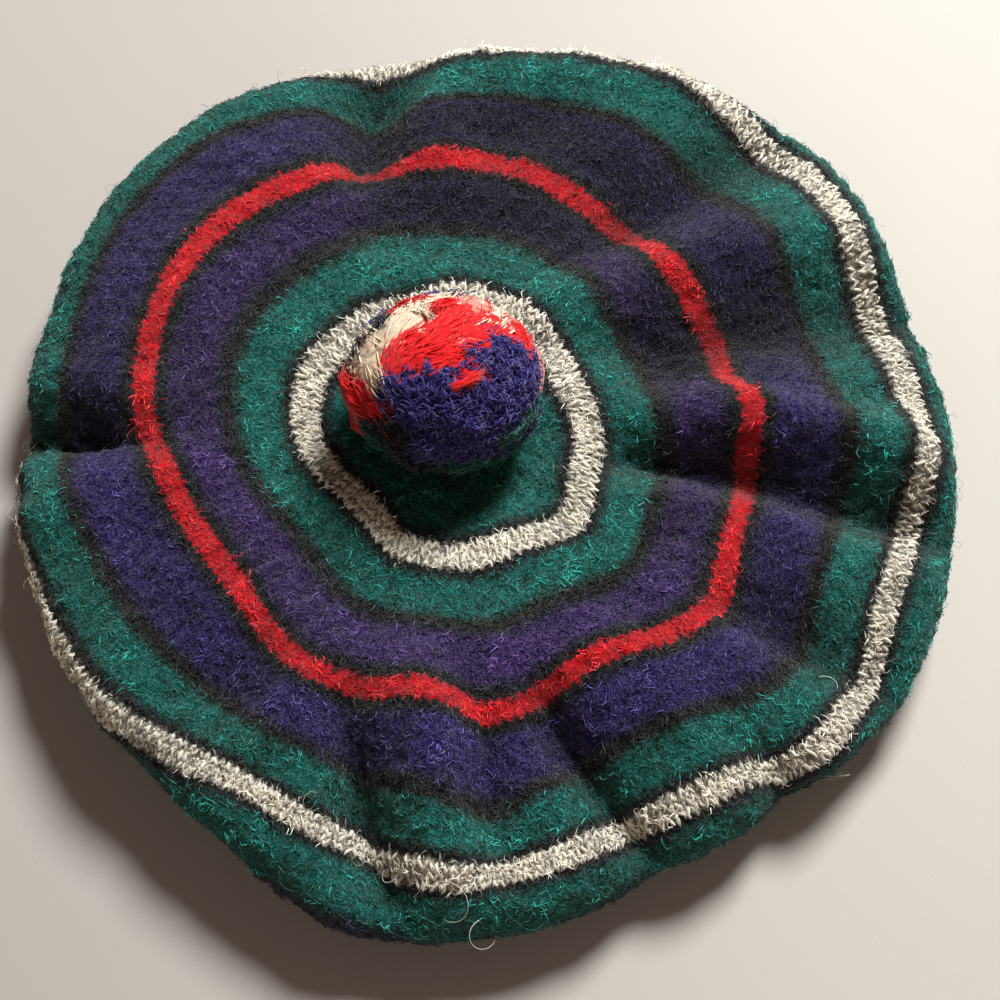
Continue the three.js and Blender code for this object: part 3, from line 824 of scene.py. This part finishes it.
def crown_fibres(name, seed, count, low, high, material,
                 lengths=(1.9, 4.0), thick=0.145, lift=0.35, places=2):
    """Fibres scattered over the crown between two distances from its middle."""
    chance = np.random.default_rng(seed)
    distance = np.sqrt(chance.uniform(low**2, high**2, 2 * count))
    degrees = chance.uniform(0, 360, 2 * count)
    # Past the edge's roll, where the cloth is seldom seen, they stand further apart
    past = distance > edge_reach(degrees)[0] + 10
    kept = np.flatnonzero(~past | (chance.uniform(0, 1, 2 * count) < 0.3))[:count]
    distance, degrees = distance[kept], degrees[kept]
    stripe = distance - wander(degrees, distance)
    on_white = np.interp(stripe, (35, 37, 43, 45, 126, 128, 134, 136), (0, 1, 1, 0, 0, 1, 1, 0))
    roots, outward, round_way, along_way = cloth_face(degrees, distance, 0.55 * on_white - 0.1)
    heading = chance.uniform(0, 2 * math.pi, count)
    curl = chance.normal(0, 1.1 * places, count)
    length = chance.uniform(*lengths, count)
    rise = lift * chance.uniform(0.3, 1.8, count)
    paths = curled(roots, outward, round_way, along_way, heading, curl, length, rise, places)
    radii = thick * chance.uniform(0.7, 1.2, count)
    # Fibres stray further over the soft borders than over the red and white ones
    astray = np.interp(stripe, *np.array(STRAYING).T)
    pairs = stripe_colours(stripe + astray * chance.normal(0, 1, count))
    # Purple fibres darken toward night blue by direction: night-blue yarn in part, painted shade in part
    night = dye_colours(["night"])[0]
    purple = ((stripe > 59) & (stripe < 80)) | ((stripe > 90) & (stripe < 111))
    dark = np.interp(degrees, *np.array(NIGHT_YARN_AND_SHADE).T) * purple
    pairs = pairs + dark[:, None, None] * (night - pairs)
    # Bright fibres stand in clumps over the deeper ones; more are bright on the relief's lumps, as painted
    # light
    lumps = PEBBLE.at(roots)[:, None]
    pale = chance.uniform(0, 1, (count, 1)) < PALE_SHARE + 0.3 * lumps
    blend = np.where(pale, chance.uniform(0.25, 0.85, (count, 1)), chance.uniform(-0.05, 0.25, (count, 1)))
    # Painted shade: the fibres are darker in the hollows of the cloth's relief and lighter on its lumps
    depth = np.clip(1.05 + 0.42 * lumps + 0.45 * CRUMPLE.at(roots)[:, None], 0.15, 1.9)
    # Painted shade: the fibres are darkened down in the folds
    depth = depth * painted_fold_shade(degrees, distance)[:, None]
    profile = np.linspace(1, 0.8, places)
    piece = strand_piece(name, paths, outward, radii, profile, 3, material, dyed(pairs, blend) * depth)


# Long hairs that catch the light: the direction and distance of the root, the way it sets out, how much it
# curls, its length and how steeply it leaves the cloth
HAIRS = [
    (325, 118, 20, 2.4, 8, 0.5), (318, 148, -60, 5.0, 18, 0.6), (266, 134, 100, 3.5, 9, 0.8),
    (270, 136, -40, 4.2, 24, 0.7), (274, 146, 170, -4.0, 16, 0.5), (95, 126, 30, 0.6, 9, 0.6),
]


def long_hairs(material):
    """The few long white hairs, as one piece."""
    degrees, distance, heading, curl, length, rise = np.array(HAIRS, float).T
    roots, outward, round_way, along_way = cloth_face(degrees, distance, np.full(len(degrees), 0.6))
    paths = curled(roots, outward, round_way, along_way, np.radians(heading), curl, length, rise, 12)
    colours = np.tile(dye_colours(["white"])[0, 1], (len(HAIRS), 1))
    radii, profile = np.full(len(HAIRS), 0.085), np.linspace(1, 0.7, 12)
    piece = strand_piece("long_hairs", paths, outward, radii, profile, 5, material, colours)


# The pompom's locks of each yarn: which way each lies from its middle, its size, and the way it is brushed
POMPOM_LOCKS = {
    "cream": [(118, 58, 1.45, -135), (146, 58, 1.3, 180), (96, 48, 1.15, -115), (173, 28, 0.7, -150),
        (58, 24, 1.05, -165), (46, 21, 1.05, -165), (172, 4, 0.9, 60), (90, -30, 1.1, 0)],
    "tan": [(165, 41, 0.8, -175), (-170, 40, 0.9, 20)],
    "night": [(142, 40, 0.5, 165), (163, 30, 0.45, 155), (-125, 20, 1, 30), (-110, -12, 1, 20),
        (0, -62, 1.4, 0), (-120, -70, 1.4, 0)],
    "scarlet": [(77, 54, 0.9, -90), (95, 74, 0.95, -130), (159, 79, 0.95, 155), (-175, 66, 1, 120),
        (-160, 56, 0.9, 125), (-142, 74, 1, 70), (-82, 85, 1, 15), (37, 67, 1, -60), (48, 46, 0.6, -65),
        (15, 65, 0.8, -50), (23, 42, 0.7, -45), (17, 25, 0.8, -45), (-53, 63, 0.55, -25),
        (-161, 25, 0.8, 30), (-145, 28, 0.7, 0), (120, 26, 0.9, 100), (64, -2, 0.9, 60),
        (130, -36, 1.1, 0)],
    "pink": [(9, 79, 0.35, -85), (65, 44, 1, -75), (34, 17, 0.95, -160), (-1, 1, 0.6, 25),
        (-164, -3, 0.5, -25)],
    "iris": [(9, 58, 0.7, -35), (-21, 68, 0.6, -25), (-2, 48, 1, -25), (-22, 53, 0.9, -40),
        (-3, 26, 1, -25), (-103, 69, 1, 20), (-124, 58, 1, 50), (-135, 48, 0.9, 95), (-74, 55, 1.1, -15),
        (-44, 48, 1.1, -30), (-24, 29, 1.1, -35), (-106, 43, 1.1, 25), (-82, 42, 1, -10),
        (-60, 38, 1, -35), (-42, 26, 1, -60), (-33, -13, 0.6, 70), (-95, 15, 1, 0), (-68, 12, 1, -30),
        (145, 14, 1, 110), (92, 14, 1, 80), (30, -8, 1, 40), (-50, -34, 1.2, 0), (170, -30, 1.1, 0),
        (45, -38, 1.2, 0)],
    "green": [(-43, 7, 0.8, -60), (-25, -10, 0.8, 175), (-75, -14, 1, -20), (-140, -8, 0.9, 30),
        (118, -4, 1, 120), (0, -24, 1, 20), (-110, -42, 1.3, 0), (120, -66, 1.4, 0)],
}
LOCKS = np.array([lock for locks in POMPOM_LOCKS.values() for lock in locks], float)
LOCK_YARNS = [yarn for yarn, locks in POMPOM_LOCKS.items() for _ in locks]
POMPOM_SEMI = POMPOM_RADIUS * np.array([1.0, POMPOM_DEPTH, POMPOM_FLAT])
# How far a lock of size 1 reaches, in degrees, how much it swells, and the relief of its curls
LOCK_REACH = 30.0
LOCK_SWELL = 0.2
CURL = Ripple(7, 2.4, 5.0)


def ball_ways(round_by, up_by):
    """Ways out of a ball's middle, with the ways round and up at each, from degrees."""
    a, e = np.radians(round_by), np.radians(up_by)
    out = np.stack([np.cos(e) * np.cos(a), np.cos(e) * np.sin(a), np.sin(e)], -1)
    east = np.stack([-np.sin(a), np.cos(a), np.zeros_like(a)], -1)
    return out, east, np.cross(out, east)


pompom_low, pompom_high = (np.array(corner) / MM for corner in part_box("pompom"))
heart_level = pompom_high[2] - POMPOM_RADIUS * POMPOM_FLAT
POMPOM_HEART = np.array([*(pompom_low + pompom_high)[:2] / 2, heart_level]) - CROWN_MIDDLE
LOCK_WAYS, LOCK_EAST, LOCK_NORTH = ball_ways(*LOCKS[:, :2].T)
LOCK_SIZES = LOCKS[:, 2]
lock_heading = np.radians(LOCKS[:, 3:])
LOCK_FLOW = np.cos(lock_heading) * LOCK_EAST + np.sin(lock_heading) * LOCK_NORTH
LOCK_PAIRS = dye_colours(LOCK_YARNS)
LOCK_CURLY = np.isin(LOCK_YARNS, ("iris", "green", "night"))


def pompom_skin(ways, lift=0.0):
    """Points on the pompom's skin in some directions, and the lock that each lies on."""
    wavy = unit(ways + 0.05 * np.stack([CURL.at(ways * 30 + shift) for shift in (0, 50, 90)], -1))
    apart = np.degrees(np.arccos(np.clip(wavy @ LOCK_WAYS.T, -1, 1))) / (LOCK_SIZES * LOCK_REACH)
    lock = apart.argmin(-1)
    share = 1 - LOCK_SWELL * np.minimum(apart.min(-1), 1.2) ** 2
    curl = np.where(LOCK_CURLY[lock], 0.55, 0.12) * CURL.at(ways * POMPOM_SEMI)
    points = ways * POMPOM_SEMI * share[..., None] + ways * (curl + lift)[..., None]
    return points + POMPOM_HEART, lock


def pompom_ball(material):
    """The pompom's head, in the yarns of its locks."""
    chance = np.random.default_rng(21)
    columns, rows = 220, 96
    round_by, up_by = np.meshgrid(np.arange(columns) * 360 / columns, np.linspace(88.5, -88.5, rows))
    points, lock = pompom_skin(ball_ways(round_by.ravel(), up_by.ravel())[0])
    ends = pompom_skin(np.array([[0, 0, 1.0], [0, 0, -1.0]]))
    last, tip = (rows - 1) * columns, rows * columns
    faces = [ring_faces(rows, columns), fan(tip, 0, columns), fan(tip + 1, last, columns, flip=True)]
    locks = np.concatenate([lock, ends[1]])
    tone = np.where(LOCK_CURLY[locks], 0.7, 0.9)[:, None] * chance.uniform(0.8, 1.1, (len(locks), 1))
    piece = make_piece("pompom_ball", np.concatenate([points, ends[0]]), faces, material,
                       LOCK_PAIRS[locks, 0] * tone)
    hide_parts("pompom")


def pompom_tie(material):
    """The dark yarn wound round the pompom's tie, from its foot on the crown up into the head."""
    columns, rows, windings = 32, 41, 8
    share, turn = np.meshgrid(np.linspace(0, 1, rows), np.arange(columns) / columns, indexing="ij")
    wound = 0.5 * np.abs(np.cos(math.pi * (share * windings + turn)))
    foot = pompom_low[2] + 0.2
    middle = share[..., None] * (POMPOM_HEART - [0, 0, foot]) + [0, 0, foot]
    away = (TIE_RADIUS - 0.5 + wound)[..., None]
    angle = 2 * math.pi * turn
    rings = middle + away * np.stack([np.cos(angle), np.sin(angle), np.zeros_like(angle)], -1)
    points = np.concatenate([rings.reshape(-1, 3), [[0, 0, foot], POMPOM_HEART]])
    last, tip = (rows - 1) * columns, rows * columns
    faces = [ring_faces(rows, columns, flip=True), fan(tip, 0, columns, flip=True)]
    faces += [fan(tip + 1, last, columns)]
    colours = np.tile(dye_colours(["night"])[0, 0], (len(points), 1))
    make_piece("pompom_tie", points, faces, material, colours)


def lie_on_ball(name, round_by, up_by, heading, curl, length, rise,
                radii, profile, pairs, shades, material):
    """Strands whose roots are on the pompom's skin, as one piece."""
    ways, east, north = ball_ways(round_by, up_by)
    roots = pompom_skin(ways, -0.4)[0]
    paths = curled(roots, ways, east, north, heading, curl, length, rise, len(profile))
    piece = strand_piece(name, paths, ways, radii, profile, 3, material, dyed(pairs, shades))


def pompom_strands(material):
    """The brushed cream and red locks, lying along their flow, and the short curls of the dark yarns."""
    chance = np.random.default_rng(22)
    for name, curly, count in (("brushed_locks", False, 4200), ("curly_locks", True, 14200)):
        up_by = np.degrees(np.arcsin(chance.uniform(-0.8, 1, count)))
        round_by = chance.uniform(0, 360, count)
        ways, east, north = ball_ways(round_by, up_by)
        lock = pompom_skin(ways)[1]
        kept = LOCK_CURLY[lock] == curly
        round_by, up_by, lock = round_by[kept], up_by[kept], lock[kept]
        flow, count = LOCK_FLOW[lock], len(lock)
        heading = np.arctan2((flow * north[kept]).sum(-1), (flow * east[kept]).sum(-1))
        if curly:
            heading = chance.uniform(0, 2 * math.pi, count)
            bright = chance.uniform(0, 1, count) < 0.22
            shades = np.where(bright, chance.uniform(0.3, 0.85, count), chance.uniform(-0.15, 0.2, count))
            lie_on_ball(name, round_by, up_by, heading, chance.normal(0, 4.5, count),
                        chance.uniform(2.5, 5.5, count), chance.uniform(0.2, 0.9, count),
                        np.where(bright, 0.13, 0.24) * chance.uniform(0.7, 1.2, count),
                        (1, 1, 0.8), LOCK_PAIRS[lock], shades, material)
        else:
            heading = heading + chance.normal(0, 0.16, count)
            lie_on_ball(name, round_by, up_by, heading, chance.normal(0, 0.3, count),
                        chance.uniform(5, 9, count), chance.uniform(0.02, 0.14, count),
                        0.34 * chance.uniform(0.6, 1.2, count), (0.7, 1, 0.9, 0.5),
                        LOCK_PAIRS[lock], chance.uniform(-0.05, 0.3, count), material)


# Tufts that stand off the ball: which way the root lies, the way the tuft points, how steeply it leaves,
# its length and half width in millimetres, how much it curls, how many strands, and its yarn
TUFTS = [
    (-158, 12, 178, 0.75, 11, 5.0, 0.2, 150, "scarlet"), (-150, -4, -150, 0.6, 9, 3.5, 0.4, 60, "scarlet"),
    (-156, -14, -115, 0.50, 10, 2.0, 0.6, 26, "pink"), (-76, 60, 14, 0.30, 10, 2.2, 0.2, 60, "scarlet"),
    (164, 44, -120, 0.20, 12, 3.0, 0.2, 70, "cream"), (152, 40, 200, 0.35, 7, 2.5, 2.5, 60, "night"),
    (168, 22, -140, 0.35, 7, 2.0, 2.5, 50, "night"), (-42, -22, -60, 0.55, 11, 5.0, 3.0, 130, "green"),
    (-28, -10, -30, 0.50, 9, 3.0, 3.0, 70, "iris"), (-20, -26, -40, 0.50, 9, 3.0, 3.0, 60, "green"),
    (-92, -38, -80, 0.50, 8, 7.0, 3.0, 120, "green"), (-70, -34, -90, 0.55, 9, 6.0, 3.0, 90, "night"),
    (-120, -32, -90, 0.50, 8, 6.0, 3.0, 90, "night"), (84, 50, 60, 0.25, 9, 4.0, 0.3, 60, "scarlet"),
    (112, 52, 90, 0.25, 8, 4.0, 0.3, 50, "cream"), (38, 46, -76, 0.15, 9, 5.0, 0.3, 90, "cream"),
    (30, 38, -70, 0.20, 8, 4.0, 0.3, 50, "pink"),
    (20, 30, 10, 0.30, 7, 4.0, 0.4, 60, "scarlet"), (8, 4, -40, 0.30, 8, 4.0, 0.4, 50, "pink"),
]


def pompom_tufts(material):
    """The tufts of yarn that stand off the pompom."""
    chance = np.random.default_rng(25)
    for number, (a, e, heading, rise, length, wide, curl, count, yarn) in enumerate(TUFTS):
        spread = math.degrees(wide / POMPOM_RADIUS) / 2
        narrow, heading = math.cos(math.radians(e)), math.radians(heading)
        round_by = a + chance.normal(0, spread, count) / narrow
        up_by = e + chance.normal(0, spread, count)
        # The strands of a brushed tuft draw together to its point
        aside = (round_by - a) * narrow * -math.sin(heading) + (up_by - e) * math.cos(heading)
        gather = -0.035 * aside * (curl < 1)
        lengths = length * chance.uniform(0.75, 1.05, count)
        pairs = np.repeat(dye_colours([yarn]), count, axis=0)
        lie_on_ball(f"{yarn}_tuft_{number}", round_by, up_by, heading + gather,
                    chance.normal(0, curl, count), lengths, rise * chance.uniform(0.6, 1.4, count),
                    np.where(curl < 1, 0.34, 0.18) * chance.uniform(0.7, 1.2, count), (0.9, 1, 0.8, 0.4),
                    pairs, chance.uniform(-0.1, 0.5, count), material)


# Where the camera stands: over the hat, tipped towards the side nearest the viewer
VIEW_ELEVATION = 66.0
VIEW_DISTANCE = 600.0
VIEW_LENS = 72.7
VIEW_AIM = (15.5, -13.4, 18.0)


def camera():
    """The camera, at the photograph's own angle."""
    tilt = math.radians(VIEW_ELEVATION)
    back = np.array([0, -math.cos(tilt), math.sin(tilt)])
    aim = (np.array(VIEW_AIM) + CROWN_MIDDLE) * MM
    eye = bpy.data.objects.new("camera", bpy.data.cameras.new("camera"))
    eye.data.lens = VIEW_LENS
    eye.data.sensor_width = 36
    eye.data.clip_start = 0.01
    eye.location = Vector(aim + back * VIEW_DISTANCE * MM)
    eye.rotation_euler = (math.radians(90) - tilt, 0, 0)
    bpy.context.collection.objects.link(eye)
    bpy.context.scene.camera = eye


def lamp(name, azimuth, elevation, distance, size, power, colour):
    """A soft lamp that looks at the hat from a direction in degrees."""
    light = bpy.data.lights.new(name, "AREA")
    light.shape = "DISK"
    light.size = size
    light.energy = power
    light.color = colour
    holder = bpy.data.objects.new(name, light)
    a, e = math.radians(azimuth), math.radians(elevation)
    way = Vector((math.cos(e) * math.cos(a), math.cos(e) * math.sin(a), math.sin(e)))
    holder.location = way * distance
    holder.rotation_euler = way.to_track_quat("Z", "Y").to_euler()
    bpy.context.collection.objects.link(holder)


def table_top():
    """The plain pale table under the hat, painted a little brighter on the window's side as painted light.
    """
    mesh = bpy.data.meshes.new("table_top")
    half = 3.0
    corners = [(-half, -half, 0), (half, -half, 0), (half, half, 0), (-half, half, 0)]
    mesh.from_pydata(corners, [], [(0, 1, 2, 3)])
    plaster = Wool("pale table", Roughness=0.7, Specular_IOR_Level=0.2)
    where = plaster.node("ShaderNodeTexCoord", output="Object")
    across = plaster.node("ShaderNodeSeparateXYZ", None, [where], output=0)
    grain = plaster.noise(0.6, 3)
    # Painted light: the table's colour grows lighter toward the window's side
    tones = [(0, linear(184, 179, 174)), (1, linear(201, 197, 190))]
    colour = plaster.shade(plaster.ramp((across + 0.16).clear(0, 0.34), tones), 0.97 + grain * 0.06)
    mesh.materials.append(plaster.finish(Base_Color=colour, Normal=plaster.bump(grain, 0.05)))
    floor = bpy.data.objects.new("table_top", mesh)
    bpy.context.collection.objects.link(floor)


def light_room():
    """A soft window high at the far right, a dim warm wall at the near side, and a little light around."""
    lamp("window", 61, 52, 1.4, 0.46, 30.5, (1.0, 0.995, 0.975))
    lamp("wall", 258, 34, 1.2, 0.5, 1.2, (1.0, 0.88, 0.8))
    world = bpy.data.worlds.new("room")
    world.use_nodes = True
    air = world.node_tree.nodes["Background"]
    air.inputs["Color"].default_value = (1.0, 0.68, 0.52, 1)
    air.inputs["Strength"].default_value = 0.105
    bpy.context.scene.world = world
    bpy.context.scene.view_settings.view_transform = "Standard"


camera()
light_room()
table_top()
crown_cloth()
headband()
white_stitches()
fuzz = fibre_wool("loose crown fibres")
crown_fibres("inner_fibres", 31, 11500, 14, 80, fuzz)
crown_fibres("middle_fibres", 32, 15000, 80, 124, fuzz)
crown_fibres("outer_fibres", 33, 16300, 124, 170, fuzz)
crown_fibres("stray_fibres", 34, 900, 20, 175, fuzz, (4, 9), 0.06, 1.1, 5)
long_hairs(fuzz)
yarn = fibre_wool("pompom yarn")
pompom_ball(yarn)
pompom_tie(yarn)
pompom_strands(yarn)
pompom_tufts(yarn)
